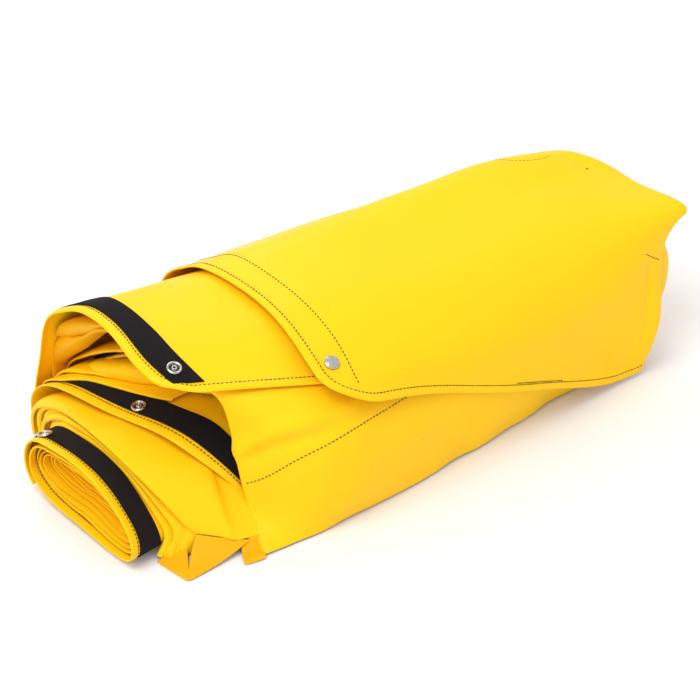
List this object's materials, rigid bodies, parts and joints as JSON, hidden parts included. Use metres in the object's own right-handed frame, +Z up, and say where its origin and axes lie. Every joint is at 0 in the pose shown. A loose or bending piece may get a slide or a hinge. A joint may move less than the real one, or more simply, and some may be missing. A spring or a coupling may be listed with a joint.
{
  "type": "welding curtain screen",
  "caption": "Rolled-up welding curtain screen: coated fabric wraps with hemmed edges, hook-and-loop bands and snaps, and two loose end flaps that fold back.",
  "frame": {"origin": "centre of the bundle's bounding box, on the floor it lies on", "axes": "+X along the roll, from the open end with the hemmed edges to the folded end; +Y to the rear fold ridge; +Z up"},
  "size_m": [0.6484, 0.3493, 0.1891],
  "materials": {
    "coated_fabric": "satin flame-resistant coated fabric",
    "hook_loop_tape": "matte woven hook-and-loop tape",
    "snap_metal": "nickel-plated pressed brass"
  },
  "bodies": {
    "root": {"base_ply": "coated_fabric", "core_inner_fold_1": "coated_fabric", "core_inner_fold_2": "coated_fabric", "core_inner_fold_3": "coated_fabric", "core_loop_band": "hook_loop_tape", "core_roll": "coated_fabric", "core_side_hem": "coated_fabric", "core_snap_ring": "snap_metal", "end_fold_1": "coated_fabric", "end_fold_2": "coated_fabric", "end_fold_3": "coated_fabric", "fan_fold_1": "coated_fabric", "fan_fold_2": "coated_fabric", "fan_fold_3": "coated_fabric", "fan_fold_4": "coated_fabric", "front_wrap": "coated_fabric", "inner_rear_wrap": "coated_fabric", "lower_wrap": "coated_fabric", "lower_wrap_corner": "coated_fabric", "middle_loop_band": "hook_loop_tape", "middle_side_hem": "coated_fabric", "middle_snap_ring": "snap_metal", "middle_wrap": "coated_fabric", "outer_rear_wrap": "coated_fabric", "stack_fold_1": "coated_fabric", "stack_fold_2": "coated_fabric", "stack_fold_3": "coated_fabric"},
    "inner_flap": {"inner_flap_front_hem": "coated_fabric", "inner_flap_loop_band": "hook_loop_tape", "inner_flap_panel": "coated_fabric", "inner_flap_side_hem": "coated_fabric", "inner_flap_snap_ring": "snap_metal"},
    "outer_flap": {"outer_flap_front_hem": "coated_fabric", "outer_flap_hook_band": "hook_loop_tape", "outer_flap_panel": "coated_fabric", "outer_flap_side_hem": "coated_fabric", "outer_flap_snap_cap": "snap_metal", "outer_flap_snap_socket": "snap_metal"}
  },
  "joints": [
    {"name": "outer_flap_fold", "type": "hinge", "parent": "root", "child": "outer_flap", "pos_m": [-0.1257, 0.0916, 0.165], "axis": [-0.986, 0.1668, 0], "range_deg": [0, 110]},
    {"name": "inner_flap_fold", "type": "hinge", "parent": "root", "child": "inner_flap", "pos_m": [-0.2417, 0.1116, 0.162], "axis": [-0.9782, 0.2062, 0.0233], "range_deg": [0, 55]}
  ],
  "couplings": [
    {"joint": "inner_flap_fold", "follows": "outer_flap_fold", "ratio": 0.5}
  ]
}
